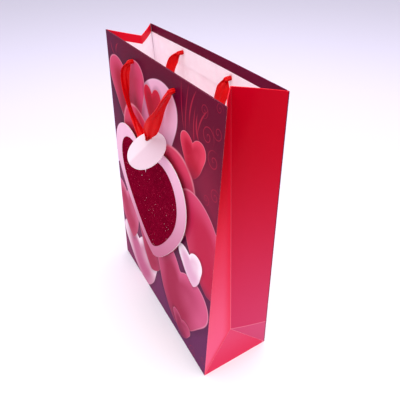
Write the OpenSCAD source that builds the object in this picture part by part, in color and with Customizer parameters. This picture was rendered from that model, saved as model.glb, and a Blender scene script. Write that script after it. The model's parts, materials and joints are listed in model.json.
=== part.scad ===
// Gift bag: a folded card bag with gussets, ribbon handles, a hang tag and a raised heart.
// Origin at the centre of the base. +X is the bag's right, the front panel faces -Y, +Z is up.

/* [Bag] */
// Width of the front panel
body_w = 305; // [260:1:340]
// Height of the panels along the card
body_h = 420; // [380:1:460]
// Depth of the base
body_d = 112; // [100:1:124]
// Inward lean of the front and back panels, in degrees
lean = 3; // [2.6:0.1:3.4]
// Thickness of the printed card
card_t = 0.5; // [0.4:0.1:0.6]

/* [Mouth] */
// Height of the turned-in hem at the mouth
hem_h = 34; // [30:1:38]
// Thickness of the hem where it is turned in
hem_t = 0.4; // [0.3:0.1:0.5]
// Thickness of the stiffening strip under the hem
strip_t = 0.8; // [0.6:0.1:1]
// Distance between the two handle holes of a panel
hole_gap = 112; // [100:1:124]
// Distance from the mouth's edge down to a handle hole
hole_drop = 18; // [16:0.5:20]
// Radius of a handle hole
hole_r = 2.5; // [2.4:0.1:3]

/* [Base] */
// Thickness of the loose board in the base
board_t = 1; // [0.8:0.1:1.2]
// How far the two long base flaps overlap
flap_lap = 24; // [20:1:30]

/* [Raised heart] */
// Width of the pink heart
heart_w = 231; // [220:1:236]
// Height of the pink heart
heart_h = 197; // [180:1:200]
// Width of the glitter heart
glitter_w = 183; // [170:1:190]
// Height of the glitter heart
glitter_h = 160; // [150:1:165]
// Sideways place of the heart's middle
heart_x = -15; // [-20:1:-10]
// Height of the heart's middle on the panel
heart_z = 214; // [205:1:220]
// Turn of the hearts, tip to the right, in degrees
heart_turn = 5; // [0:1:8]
// Thickness of the foam pads behind the heart
pad_t = 5; // [4:0.5:6]

/* [Tag] */
// Radius of the tag
tag_r = 26; // [24:1:27]
// Thickness of the tag
tag_t = 0.8; // [0.6:0.1:1]
// Radius of the tag's hole
tag_hole_r = 3.5; // [3.4:0.1:4]
// Distance from the tag's middle to its hole
tag_hole_at = 16; // [15:0.5:17]

/* [Hidden] */
$fn = 48;

half_w = body_w / 2;
half_d = body_d / 2;
// Base layers, from the table up
flap_z = card_t + 0.05;
tuck_z = flap_z + card_t + 0.05;
board_z = tuck_z + card_t + 0.05;
base_inset = 0.8;
panel_z = 1.4;
board_inset = 4.5;
// A gusset half turns just inside the panel, and stops short of the middle crease and the diagonal
fold_in = card_t + 0.15;
fold_gap = 0.4;
crease_gap = 2.8;
// Margins of the hems and of the stiffening strips from the panel's side edges
hem_side = 12.5;
strip_side = 24;
hem_mid = 4;
// Neck of a handle where the ribbon is gathered through its hole
neck_r = 2.2;
neck_out = 4;
neck_in = 3;
knot_r = 4.2;
hole_z = body_h - hole_drop;
mouth_depth = card_t + strip_t + hem_t;

// Middle crease of a gusset: recess and height of its lower end and of its upper end
low_y = half_d - half_d * sin(lean);
low_z = (low_y * low_y + pow(half_d * cos(lean), 2)) / (2 * half_d * cos(lean));
low_in = sqrt(half_d * half_d - low_z * low_z);
top_y = half_d - body_h * sin(lean);
top_in = sqrt(half_d * half_d - top_y * top_y);
top_z = low_z + sqrt(pow(body_h - half_d, 2) - pow(top_in - low_in, 2));
triangle_tilt = asin(low_in / half_d);

// Route of the front handle's ribbon, from the left hole through the tag to the right hole
front_route = [
    [-56, -40.5, 401], [-58, -43.5, 396], [-60, -46, 388], [-61, -47, 377], [-60, -47.5, 365],
    [-58, -47, 353], [-54, -46, 341], [-47, -45, 330], [-37, -45, 322], [-25, -46, 317],
    [-12, -49, 315], [0, -51, 317], [9, -53, 323], [16, -54, 332], [20, -53.5, 340],
    [25, -51.5, 350], [30, -49.5, 360], [36, -47.5, 371], [43, -45.5, 382], [50, -43, 393], [56, -40.5, 401]
];
// Route of the back handle's ribbon, hanging inside the bag
back_route = [
    [-56, 28.8, 401], [-58, 25, 396], [-60, 21, 389], [-61, 18, 380], [-60, 16, 370],
    [-56, 15.5, 363], [-49, 16, 356], [-38, 16, 351], [-26, 16, 348.5], [-13, 16, 347.5], [0, 16, 347],
    [13, 16, 347.5], [26, 16, 348.5], [38, 16, 351], [49, 16, 356], [56, 15.5, 363],
    [60, 16, 370], [61, 18, 380], [60, 21, 389], [58, 25, 396], [56, 28.8, 401]
];
tag_hole = front_route[13];
// Turns of the tag: lean back from upright, turn to the right, roll in its own plane
tag_turn = [-58, 0, 13];
tag_roll = -37;
// Half width and half thickness of the ribbon's solid, and its rounder section where it is gathered
ribbon_half_w = 6;
ribbon_half_t = 0.9;
gather_half_w = 1;

// A point on a right-hand side edge at height s along the card, and on the gusset's middle crease
function side_edge(s) = [half_w, -half_d + fold_in + s * sin(lean), s * cos(lean)];
function mid_crease(s) = s <= half_d
    ? [half_w - low_in * s / half_d, -half_d + s, low_z * s / half_d]
    : let (k = (s - half_d) / (body_h - half_d))
      [half_w - low_in - (top_in - low_in) * k, 0, low_z + (top_z - low_z) * k];
// A point of the front right gusset half: s up the card, d along it from the side edge, o to the inside
function gusset_point(s, d, o) =
    let (a = side_edge(s), v = mid_crease(s) - a, u = v / norm(v), n = [-u[1], u[0], 0])
    a + u * d + n / norm(n) * o;
function gusset_width(s) = norm(mid_crease(s) - side_edge(s));
function grid(rows, cols, lo, hi, off) =
    [for (s = rows) [for (c = [0 : cols])
        gusset_point(s, lo + (gusset_width(s) - hi - lo) * c / cols, off)]];

// Heart outline of a given width and height, with a round tip and a slight turn of its own
function heart_power(a) = 2.2 + 0.8 * cos(a);
function heart_point(a, w, h) = [w * sign(sin(a)) * pow(abs(sin(a)), heart_power(a)) / 2,
    h * (13 * cos(a) - 5 * cos(2 * a) - 2 * cos(3 * a) - cos(4 * a) + 2.5) / 29];
function turned(p, a) = [p[0] * cos(a) - p[1] * sin(a), p[0] * sin(a) + p[1] * cos(a)];
function heart_outline(w, h) = [for (i = [0 : 71]) turned(heart_point(5 * i, w, h), heart_turn)];

// Smooth curve through a route, and the rings of the ribbon along it
function spline(p, i, f) =
    let (a = p[max(i - 1, 0)], b = p[i], c = p[min(i + 1, len(p) - 1)], d = p[min(i + 2, len(p) - 1)])
    (2 * b + (c - a) * f + (2 * a - 5 * b + 4 * c - d) * f * f + (3 * b - a - 3 * c + d) * f * f * f) / 2;
function along(p, k) = spline(p, min(floor(k), len(p) - 2), k - min(floor(k), len(p) - 2));
function heading(p, k) = let (v = along(p, min(k + 0.1, len(p) - 1)) - along(p, max(k - 0.1, 0))) v / norm(v);
function spread(p, k, pinch) = let (m = min([for (q = pinch) abs(k - q)]))
    gather_half_w + (ribbon_half_w - gather_half_w) * (m > 3 ? 1 : m < 0.4 ? 0 : (m - 0.4) / 2.6);
function ring(p, k, pinch) =
    let (t = heading(p, k), y = [0, 1, 0] - t * t[1], b = y / norm(y), c = cross(t, b), w = spread(p, k, pinch))
    [for (a = [22.5 : 45 : 360]) along(p, k) + b * w * cos(a) + c * ribbon_half_t * sin(a)];
function tube_rings(p, pinch) = [for (k = [0 : 2 / 3 : len(p) - 0.9]) ring(p, min(k, len(p) - 1), pinch)];

// Solid between two grids of points with the same rows and columns
module slab(outer, inner) {
    nr = len(outer);
    nc = len(outer[0]);
    n = nr * nc;
    points = [for (g = [outer, inner]) for (r = g) for (p = r) p];
    skin = [for (i = [0 : nr - 2]) for (j = [0 : nc - 2])
        let (a = i * nc + j) for (f = [[a, a + 1, a + nc + 1], [a, a + nc + 1, a + nc]]) f];
    rim = concat([for (j = [0 : nc - 1]) j], [for (i = [1 : nr - 1]) i * nc + nc - 1],
        [for (j = [nc - 2 : -1 : 0]) (nr - 1) * nc + j], [for (i = [nr - 2 : -1 : 1]) i * nc]);
    sides = [for (q = [0 : len(rim) - 1])
        let (a = rim[q], b = rim[(q + 1) % len(rim)]) for (f = [[b, a, a + n], [b, a + n, b + n]]) f];
    polyhedron(points, concat(skin, [for (f = skin) [f[2] + n, f[1] + n, f[0] + n]], sides));
}

// Solid tube through rings of eight points
module tube(rings) {
    m = 8;
    last = len(rings) - 1;
    points = [for (r = rings) for (p = r) p];
    walls = [for (i = [0 : last - 1]) for (j = [0 : m - 1])
        let (a = i * m + j, b = i * m + (j + 1) % m) for (f = [[a, b, b + m], [a, b + m, a + m]]) f];
    caps = [[for (j = [m - 1 : -1 : 0]) j], [for (j = [0 : m - 1]) last * m + j]];
    polyhedron(points, concat(walls, caps));
}

// Places of the walls: x across, y to the inside of the bag from the outer face, z up the card
module on_front() { translate([0, -half_d, 0]) rotate([-lean, 0, 0]) children(); }
module on_back() { mirror([0, 1, 0]) on_front() children(); }

// An outline in x and z, given a thickness to the inside from depth y
module upright(y, t) { translate([0, y + t, 0]) rotate([90, 0, 0]) linear_extrude(t) children(); }
module handle_holes() { for (x = [-1, 1]) translate([x * hole_gap / 2, hole_z]) circle(hole_r); }

module panel() {
    upright(0, card_t) difference() {
        translate([-half_w, panel_z]) square([body_w, body_h - panel_z]);
        handle_holes();
    }
}

module stiffener() {
    w = body_w - 2 * strip_side;
    upright(card_t, strip_t) difference() {
        translate([-w / 2, body_h - hem_h + 0.5]) square([w, hem_h - 1]);
        handle_holes();
    }
}

// The hem runs down over the stiffening strip at both ends, to lie on the panel
module hem() {
    a = half_w - hem_side;
    b = half_w - strip_side + 1;
    lo = card_t;
    hi = card_t + strip_t;
    under = [[-a, lo], [-b, lo], [-b, hi], [b, hi], [b, lo], [a, lo]];
    over = [[a, lo + hem_t], [b + 1, lo + hem_t], [b + 1, hi + hem_t],
        [-b - 1, hi + hem_t], [-b - 1, lo + hem_t], [-a, lo + hem_t]];
    difference() {
        translate([0, 0, body_h - hem_h]) linear_extrude(hem_h) polygon(concat(under, over));
        upright(-1, 6) handle_holes();
    }
}

// A knot with two short tails on one side of each hole, and the gathered neck through the hole.
// Depths run from the panel's outer face: the neck is a shaft from neck_from to neck_to, the knot is
// a ball centred at knot_at, and the tails hang just under it.
module ribbon_knots(knot_at, neck_from, neck_to) {
    ball = [for (a = [20 : 20 : 160]) [knot_r * sin(a), knot_at - knot_r * cos(a)]];
    low = [for (p = [[0, neck_from], [neck_r, neck_from]]) if (neck_from < knot_at - knot_r) p];
    high = [for (p = [[neck_r, neck_to], [0, neck_to]]) if (neck_to > knot_at + knot_r) p];
    meet = sqrt(knot_r * knot_r - neck_r * neck_r);
    start = len(low) > 0 ? concat(low, [[neck_r, knot_at - meet]]) : [[0, knot_at - knot_r]];
    end = len(high) > 0 ? concat([[neck_r, knot_at + meet]], high) : [[0, knot_at + knot_r]];
    round_part = [for (p = ball) if (p[0] > neck_r) p];
    for (x = [-1, 1]) translate([x * hole_gap / 2, 0, hole_z]) {
        rotate([-90, 0, 0]) rotate_extrude() polygon(concat(start, round_part, end));
        for (a = [-28, 24]) rotate([0, a, 0])
            translate([-2, knot_at - 0.8, -knot_r - 13.2]) cube([4, 1.6, 13]);
    }
}

module gusset_half() {
    rows = [10, 22, 38, half_d, 100, 160, 220, 280, 340, body_h - hem_h, body_h - hem_h / 2, body_h - 0.5];
    slab(grid(rows, 2, fold_gap, crease_gap, -card_t), grid(rows, 2, fold_gap, crease_gap, 0));
}

module gusset_half_hem() {
    rows = [body_h - hem_h, body_h - hem_h / 2, body_h - 0.5];
    slab(grid(rows, 2, hem_side, hem_mid, 0.12), grid(rows, 2, hem_side, hem_mid, 0.12 + hem_t));
}

module base_triangle() {
    translate([half_w, 0, 0]) rotate([0, -triangle_tilt, 0]) rotate([0, -90, 0]) linear_extrude(card_t)
        polygon([[2.6, -half_d + 5.2], [half_d - 2, -0.6], [half_d - 2, 0.6], [2.6, half_d - 5.2]]);
}

module right_front() { children(); }
module right_back() { mirror([0, 1, 0]) children(); }
module left_front() { mirror([1, 0, 0]) children(); }
module left_back() { mirror([1, 0, 0]) mirror([0, 1, 0]) children(); }

module bottom_back_flap() color("white") {
    translate([-half_w + base_inset, -flap_lap / 2 - 20, 0])
        cube([body_w - 2 * base_inset, half_d + flap_lap / 2 + 20 - base_inset, card_t]);
}

// The inner flap steps up where it laps over the outer one
module bottom_front_flap() color("white") {
    w = body_w - 2 * base_inset - 6;
    edge = -flap_lap / 2 - 20;
    profile = [[-half_d + base_inset, 0], [edge - 1.4, 0], [edge - 0.6, flap_z], [flap_lap / 2, flap_z],
        [flap_lap / 2, flap_z + card_t], [edge - 1, flap_z + card_t], [edge - 1.8, card_t],
        [-half_d + base_inset, card_t]];
    rotate([90, 0, 90]) translate([0, 0, -w / 2]) linear_extrude(w) polygon(profile);
}

module tuck() {
    translate([0, 0, tuck_z]) linear_extrude(card_t)
        polygon([[half_w - 2, -half_d + 4], [half_w - 2, half_d - 4], [half_w - half_d, 8], [half_w - half_d, -8]]);
}
module bottom_right_tuck() color("white") tuck();
module bottom_left_tuck() color("white") mirror([1, 0, 0]) tuck();

module bottom_board() color("gainsboro") {
    w = body_w - 2 * board_inset;
    d = body_d - 2 * board_inset;
    translate([-w / 2, -d / 2, board_z]) cube([w, d, board_t]);
}

module front_panel() color("#6b1a3a") on_front() panel();
module back_panel() color("#6b1a3a") on_back() panel();
module front_hem() color("white") on_front() hem();
module back_hem() color("white") on_back() hem();
module front_stiffener() color("lightgray") on_front() stiffener();
module back_stiffener() color("lightgray") on_back() stiffener();
module front_ribbon_knots() color("red") on_front()
    ribbon_knots(mouth_depth + knot_r + 0.1, -neck_out, mouth_depth);
module back_ribbon_knots() color("red") on_back()
    ribbon_knots(-knot_r - 0.1, 0, mouth_depth + neck_in);

module gusset_front_right() color("crimson") right_front() gusset_half();
module gusset_back_right() color("crimson") right_back() gusset_half();
module gusset_front_left() color("crimson") left_front() gusset_half();
module gusset_back_left() color("crimson") left_back() gusset_half();
module gusset_hem_front_right() color("white") right_front() gusset_half_hem();
module gusset_hem_back_right() color("white") right_back() gusset_half_hem();
module gusset_hem_front_left() color("white") left_front() gusset_half_hem();
module gusset_hem_back_left() color("white") left_back() gusset_half_hem();
module base_triangle_right() color("crimson") base_triangle();
module base_triangle_left() color("crimson") mirror([1, 0, 0]) base_triangle();

// Foam pads in a ring behind the heart, with one in the middle
module heart_foam_pads() color("white") {
    pad = 14;
    on_front() translate([heart_x, -pad_t, heart_z]) {
        for (p = [[0, 0], [-70, 45], [70, 45], [-40, -25], [40, -25], [0, -65], [-35, 62], [35, 62]])
            translate([p[0] - pad / 2, 0, p[1] - pad / 2]) cube([pad, pad_t, pad]);
    }
}
module heart_card() color("pink") on_front()
    upright(-pad_t - 1, 1) translate([heart_x, heart_z]) polygon(heart_outline(heart_w, heart_h));
module glitter_heart() color("firebrick") on_front()
    upright(-pad_t - 1.6, 0.6) translate([heart_x, heart_z + 2]) polygon(heart_outline(glitter_w, glitter_h));

module front_handle() color("red") tube(tube_rings(front_route, [0, 13, 20]));
module back_handle() color("red") tube(tube_rings(back_route, [0, 20]));

// The tag hangs on the front ribbon by its hole, turned up and to the right
module tag() color("white") {
    translate(tag_hole) rotate([0, 0, tag_turn[2]]) rotate([tag_turn[0], 0, 0]) rotate([0, tag_roll, 0])
        rotate([90, 0, 0]) translate([0, 0, -tag_t / 2]) linear_extrude(tag_t) difference() {
            translate([0, -tag_hole_at]) circle(tag_r, $fn = 96);
            circle(tag_hole_r);
        }
}

bottom_front_flap();
bottom_back_flap();
bottom_left_tuck();
bottom_right_tuck();
bottom_board();
front_panel();
front_hem();
front_stiffener();
front_ribbon_knots();
back_panel();
back_hem();
back_stiffener();
back_ribbon_knots();
gusset_front_right();
gusset_back_right();
gusset_front_left();
gusset_back_left();
gusset_hem_front_right();
gusset_hem_back_right();
gusset_hem_front_left();
gusset_hem_back_left();
base_triangle_right();
base_triangle_left();
heart_foam_pads();
heart_card();
glitter_heart();
front_handle();
back_handle();
tag();
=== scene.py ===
"""The looks of a folded card gift bag: printed card shells, satin ribbons, a hang tag and a raised heart.

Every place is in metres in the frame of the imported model: +X is the bag's right, the front faces -Y, +Z is up.
"""

import json
import math

import bmesh
import bpy
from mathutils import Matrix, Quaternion, Vector


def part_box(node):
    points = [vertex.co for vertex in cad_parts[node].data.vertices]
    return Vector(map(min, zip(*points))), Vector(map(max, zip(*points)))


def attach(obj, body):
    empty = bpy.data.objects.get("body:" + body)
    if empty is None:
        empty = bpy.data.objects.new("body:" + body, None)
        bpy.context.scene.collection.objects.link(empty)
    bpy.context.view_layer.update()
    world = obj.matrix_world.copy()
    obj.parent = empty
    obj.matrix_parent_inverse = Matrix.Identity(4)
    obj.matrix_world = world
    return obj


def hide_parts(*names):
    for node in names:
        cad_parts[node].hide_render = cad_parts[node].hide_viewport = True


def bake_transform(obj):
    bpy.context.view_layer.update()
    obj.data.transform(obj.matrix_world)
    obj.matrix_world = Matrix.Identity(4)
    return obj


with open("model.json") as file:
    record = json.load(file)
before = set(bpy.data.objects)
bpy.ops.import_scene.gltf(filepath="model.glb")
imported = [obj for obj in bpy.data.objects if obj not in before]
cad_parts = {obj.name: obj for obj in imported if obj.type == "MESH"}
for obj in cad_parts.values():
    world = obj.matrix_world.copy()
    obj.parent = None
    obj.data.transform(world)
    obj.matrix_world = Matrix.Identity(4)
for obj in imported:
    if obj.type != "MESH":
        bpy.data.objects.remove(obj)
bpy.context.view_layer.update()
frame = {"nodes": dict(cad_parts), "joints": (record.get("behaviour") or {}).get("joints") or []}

# -------- sizes

MM = 0.001
JOINTS = {j["name"]: j for j in frame["joints"]}
LEAN = math.radians(3)
SIN, COS = math.sin(LEAN), math.cos(LEAN)
HALF_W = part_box("front_panel")[1].x
HALF_D = -JOINTS["mouth_fold"]["pos_m"][1]
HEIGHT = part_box("front_panel")[1].z / COS
CARD = 0.5 * MM
HEM = 34 * MM
HEM_CARD = 0.4 * MM
PRINTED_HEM = 11 * MM
STRIP = 0.8 * MM
STRIP_SIDE = 24 * MM
HOLE_X, HOLE_S, HOLE_R = 56 * MM, HEIGHT - 18 * MM, 2.5 * MM
PAD = 5 * MM
HEART_AT = (-15 * MM, 214 * MM)
HEART_TURN = math.radians(5)
PINK_HEART = (231 * MM, 197 * MM, 1.0 * MM)
GLITTER_HEART = (183 * MM, 160 * MM, 0.6 * MM)
RIBBON_W, RIBBON_T = 18 * MM, 0.3 * MM
TAG_R, TAG_T, TAG_HOLE_R, TAG_HOLE_AT = 26 * MM, 0.8 * MM, 3.5 * MM, 16 * MM
TAG_TURN = [math.radians(a) for a in (-58, -37, 13)]

FRONT, BACK = -1, 1
RIGHT, LEFT = 1, -1
NAME = {FRONT: "front", BACK: "back"}

# The glue under a hem, and the gap that keeps two cards apart
GLUE, AIR = 0.1 * MM, 0.02 * MM

# How far each wall bows out at the middle of its mouth, and its faint ripple
BOW = {FRONT: 0.4 * MM, BACK: 2.6 * MM}
RIPPLE = 0.12 * MM

# A gusset half's sag between its creases, and the dent that the folded base leaves across the back half
SAG, DENT, DENT_REACH = 0.7 * MM, 2.7 * MM, 14 * MM

# The card thins to this share at a fold, over this width, so that it can turn there
FOLD_SHARE, FOLD_REACH = 0.55, 7 * MM

# Crease pattern of a gusset: recess and height of its middle crease at the lower and the upper end
LOW_Y = HALF_D - HALF_D * SIN
LOW_Z = (LOW_Y**2 + (HALF_D * COS) ** 2) / (2 * HALF_D * COS)
LOW_IN = math.sqrt(HALF_D**2 - LOW_Z**2)
TOP_IN = math.sqrt(HALF_D**2 - (HALF_D - HEIGHT * SIN) ** 2)
TOP_Z = LOW_Z + math.sqrt((HEIGHT - HALF_D) ** 2 - (TOP_IN - LOW_IN) ** 2)

# Routes of the ribbons, in millimetres, from the left hole to the right hole
FRONT_ROUTE = [
    (-56, -40.5, 401), (-58, -43.5, 396), (-60, -46, 388), (-61, -47, 377), (-60, -47.5, 365),
    (-58, -47, 353), (-54, -46, 341), (-47, -45, 330), (-37, -45, 322), (-25, -46, 317),
    (-12, -49, 315), (0, -51, 317), (9, -53, 323), (16, -54, 332), (20, -53.5, 340),
    (25, -51.5, 350), (30, -49.5, 360), (36, -47.5, 371), (43, -45.5, 382), (50, -43, 393),
    (56, -40.5, 401),
]
BACK_ROUTE = [
    (-56, 28.8, 401), (-58, 25, 396), (-60, 21, 389), (-61, 18, 380), (-60, 16, 370),
    (-56, 15.5, 363), (-49, 16, 356), (-38, 16, 351), (-26, 16, 348.5), (-13, 16, 347.5), (0, 16, 347),
    (13, 16, 347.5), (26, 16, 348.5), (38, 16, 351), (49, 16, 356), (56, 15.5, 363),
    (60, 16, 370), (61, 18, 380), (60, 21, 389), (58, 25, 396), (56, 28.8, 401),
]
AT_TAG = 13  # the route point in the tag's hole
TAG_HOLE = Vector(FRONT_ROUTE[AT_TAG]) * MM


def smooth(x, lo=0.0, hi=1.0):
    """0 below lo, 1 above hi, and a smooth step between."""
    t = min(1.0, max(0.0, (x - lo) / (hi - lo)))
    return t * t * (3 - 2 * t)


def steps(lo, hi, count):
    """The count + 1 numbers that go evenly from lo to hi."""
    return [lo + (hi - lo) * i / count for i in range(count + 1)]


# -------- camera


def add_object(name, data, place=(0, 0, 0), target=None, roll=0.0):
    """Puts an object into the scene, looking at its target if it has one."""
    obj = bpy.data.objects.new(name, data)
    obj.location = place
    if target:
        obj.rotation_mode = "QUATERNION"
        look = (Vector(target) - Vector(place)).to_track_quat("-Z", "Y")
        obj.rotation_quaternion = look @ Quaternion((0, 0, 1), roll)
    bpy.context.scene.collection.objects.link(obj)
    return obj


def add_camera():
    data = bpy.data.cameras.new("camera")
    data.lens = 34.18
    data.sensor_width = 36
    place, target = (0.4, -0.2047, 0.5517), (0.0218, 0.0145, 0.2158)
    bpy.context.scene.camera = add_object("camera", data, place, target, roll=-0.0075)


add_camera()

# -------- places on the bag


def bow(side, x, s):
    """How far a wall stands out from its plane: it bows a little towards the mouth, and ripples faintly."""
    across = max(0.0, 1 - (x / HALF_W) ** 2)
    swell = BOW[side] * (s / HEIGHT) ** 3
    ripple = RIPPLE * math.sin(math.pi * s / HEIGHT) * math.sin(9 * x / HALF_W + 7 * s / HEIGHT)
    return across * (swell + ripple)


def wall(side, x, s, depth=0.0):
    """A point of the front or back wall: x across, s up the card, depth to the inside from the outer face."""
    d = depth - bow(side, x, s)
    return Vector((x, side * (HALF_D - d * COS - s * SIN), s * COS - d * SIN))


def side_edge(s):
    """A point of the fold between the front wall and the right gusset."""
    return Vector((HALF_W, -HALF_D + s * SIN, s * COS))


def mid_crease(s):
    """A point of the right gusset's middle crease, or below it of the crease that bounds the base corner."""
    if s <= HALF_D:
        k = s / HALF_D
        return Vector((HALF_W - LOW_IN * k, -HALF_D + s, LOW_Z * k))
    k = (s - HALF_D) / (HEIGHT - HALF_D)
    return Vector((HALF_W - LOW_IN - (TOP_IN - LOW_IN) * k, 0, LOW_Z + (TOP_Z - LOW_Z) * k))


def mitre(s):
    """How far a fold's inner faces draw back from its edge, for each unit of depth, so that they just meet."""
    run = mid_crease(max(s, MM)) - side_edge(max(s, MM))
    flat = math.hypot(run.x, run.y)
    return (flat - run.x) / run.y


def gusset(across, along, s, u, depth=0.0):
    """A point of a gusset half: s up the card, u from 0 at the side edge to 1 at the middle crease.
    Its inner faces meet the wall's and the other half's at the folds, and it is thinner next to the wall."""
    t = max(s, 0.01 * MM)
    edge = side_edge(t)
    run = mid_crease(t) - edge
    width = run.length
    run = run / width
    normal = Vector((-run.y, run.x, 0)).normalized()
    first = min(depth * mitre(s), 0.4 * width)
    depth *= FOLD_SHARE + (1 - FOLD_SHARE) * smooth(u * width, 0, FOLD_REACH)
    last = width + (depth * -normal.y / run.y if s > HALF_D else -0.3 * depth)
    sag = SAG * math.sin(math.pi * u) * smooth(s, 0.1 * HEIGHT, 0.6 * HEIGHT)
    if along == BACK:
        sag -= DENT * max(0.0, 1 - abs(s - HALF_D) / DENT_REACH) * u * (1 - u)
    p = edge + run * (first + (last - first) * u) + normal * (depth + sag)
    return Vector((across * p.x, -along * p.y, p.z))


# -------- mesh builders


def place_mesh(name, bm, materials, weld=0.004 * MM, sharp=38):
    """Puts a built mesh into the scene, with sharp edges where its faces turn more than sharp degrees."""
    bmesh.ops.remove_doubles(bm, verts=bm.verts, dist=weld)
    bmesh.ops.recalc_face_normals(bm, faces=bm.faces)
    for face in bm.faces:
        face.smooth = True
    mesh = bpy.data.meshes.new(name)
    bm.to_mesh(mesh)
    bm.free()
    for material in materials:
        mesh.materials.append(material)
    mesh.set_sharp_from_angle(angle=math.radians(sharp))
    return add_object(name, mesh)


def add_shell(bm, outer, inner, slots=(0, 1, 2)):
    """A closed thin shell between two grids of points. slots are for its outer face, its inner face and its edges.
    Gives back both grids of vertices."""
    rows, cols = len(outer), len(outer[0])
    made = [[[bm.verts.new(p) for p in row] for row in grid] for grid in (outer, inner)]
    for order, grid, slot in zip((1, -1), made, slots):
        for i in range(rows - 1):
            for j in range(cols - 1):
                quad = [grid[i][j], grid[i][j + 1], grid[i + 1][j + 1], grid[i + 1][j]]
                bm.faces.new(quad[::order]).material_index = slot
    rim = [(0, j) for j in range(cols)] + [(i, cols - 1) for i in range(1, rows)]
    rim += [(rows - 1, j) for j in range(cols - 2, -1, -1)] + [(i, 0) for i in range(rows - 2, 0, -1)]
    over, under = [[grid[i][j] for i, j in rim] for grid in made]
    for k in range(len(rim)):
        bm.faces.new([over[k], over[k - 1], under[k - 1], under[k]]).material_index = slots[2]
    return made


def shell(name, outer, inner, materials, values=None):
    """A piece that is one thin shell. Material 0 is for the outer face, 1 for the inner face, 2 for the edges.
    values holds a grid of numbers for each attribute that the materials read."""
    bm = bmesh.new()
    layers = {key: bm.verts.layers.float.new(key) for key in (values or {})}
    for grid in add_shell(bm, outer, inner):
        for key, layer in layers.items():
            for row, numbers in zip(grid, values[key]):
                for vertex, number in zip(row, numbers):
                    vertex[layer] = number
    return place_mesh(name, bm, materials)


def join(bm, a, b, shift=0, slot=0):
    """Faces between two rings of vertices."""
    count = len(a)
    for i in range(count):
        j = (i + 1) % count
        bm.faces.new([a[i], a[j], b[(j + shift) % count], b[(i + shift) % count]]).material_index = slot


def add_tube(bm, points, radius, sides, closed=False, flat=1.0, pleats=0):
    """Sweeps a round, flattened or pleated section along points."""
    rings, count = [], len(points)
    side = Vector((0.31, 0.52, 0.79))
    for k, p in enumerate(points):
        after = points[(k + 1) % count] if closed else points[min(k + 1, count - 1)]
        before = points[k - 1] if closed or k > 0 else points[0]
        heading = (after - before).normalized()
        side = (side - heading * side.dot(heading)).normalized()
        other = heading.cross(side)
        ring = []
        for i in range(sides):
            a = 2 * math.pi * i / sides
            r = radius * (1 + 0.14 * math.cos(pleats * a) if pleats else 1)
            ring.append(bm.verts.new(p + side * r * math.cos(a) + other * r * flat * math.sin(a)))
        rings.append(ring)
    first, last = rings[0], rings[-1]
    for a, b in zip(rings, rings[1:]):
        join(bm, a, b)
    if closed:
        join(bm, last, first, min(range(sides), key=lambda n: (last[0].co - first[n].co).length))
    else:
        bm.faces.new(first[::-1])
        bm.faces.new(last)


def plate(name, outline, inner, place, thickness, bevel, materials):
    """A flat plate with rounded front edges, from its outline to the edge of its hole, or to a centre if inner is
    the same point all round. Both run counter-clockwise. place(x, z, depth) gives its points, from depth 0 in
    front. Material 0 is for the front face, 1 for the edges, 2 for the rear face."""
    count = len(outline)
    outline, inner = [Vector(p) for p in outline], [Vector(p) for p in inner]
    pierced = (inner[0] - inner[1]).length > 0

    def moved(loop, distance):
        out = []
        for i, p in enumerate(loop):
            run = loop[(i + 1) % count] - loop[i - 1]
            out.append(p + Vector((run.y, -run.x)).normalized() * distance)
        return out

    def between(a, b, rings=14):
        return [[p.lerp(q, f) for p, q in zip(a, b)] for f in steps(0, 1, rings)]

    hole_front = moved(inner, bevel) if pierced else inner
    halfway = 0.3 * bevel
    rings = [(loop, 0.0, 0) for loop in between(hole_front, moved(outline, -bevel))]
    rings += [(moved(outline, -halfway), halfway, 1), (outline, bevel, 1), (outline, thickness, 1)]
    rings += [(loop, thickness, 2) for loop in between(outline, inner)[1:]]
    if pierced:
        rings += [(inner, bevel, 1), (moved(inner, halfway), halfway, 1)]
    bm = bmesh.new()
    made = [[bm.verts.new(place(p.x, p.y, depth)) for p in loop] for loop, depth, _ in rings]
    for a, b, (_, _, slot) in zip(made, made[1:], rings[1:]):
        join(bm, a, b, slot=slot)
    if pierced:
        join(bm, made[-1], made[0], slot=1)
    return place_mesh(name, bm, materials)


def drill(obj, side, values=lambda x, s: {}):
    """Cuts the two handle holes through a piece of a wall. values(x, s) gives its attributes at a place."""
    bm = bmesh.new()
    reach = 8 * MM
    for x in (-HOLE_X, HOLE_X):
        ends = [wall(side, x, HOLE_S, depth) for depth in (-reach, reach)]
        add_tube(bm, ends, HOLE_R, 32)
    cutter = place_mesh("cutter", bm, [])
    modifier = obj.modifiers.new("holes", "BOOLEAN")
    modifier.operation = "DIFFERENCE"
    modifier.solver = "EXACT"
    modifier.object = cutter
    depsgraph = bpy.context.evaluated_depsgraph_get()
    mesh = bpy.data.meshes.new_from_object(obj.evaluated_get(depsgraph))
    obj.modifiers.clear()
    obj.data = mesh
    bpy.data.objects.remove(cutter)
    # the cut leaves its new edges without the numbers that the materials read
    for vertex in mesh.vertices:
        x, z = vertex.co.x, vertex.co.z
        if math.hypot(abs(x) - HOLE_X, z - HOLE_S * COS) < 1.5 * HOLE_R:
            for key, value in values(x, z / COS).items():
                mesh.attributes[key].data[vertex.index].value = value


def spline(points, per_span):
    """A smooth curve through a route, with per_span points to each span."""
    p = [Vector(q) * MM for q in points]
    out = []
    for i in range(len(p) - 1):
        a, b, c, d = p[max(i - 1, 0)], p[i], p[i + 1], p[min(i + 2, len(p) - 1)]
        for k in range(per_span):
            f = k / per_span
            out.append(0.5 * (2 * b + (c - a) * f + (2 * a - 5 * b + 4 * c - d) * f * f
                              + (3 * b - a - 3 * c + d) * f**3))
    return out + [p[-1]]


# -------- materials


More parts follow.
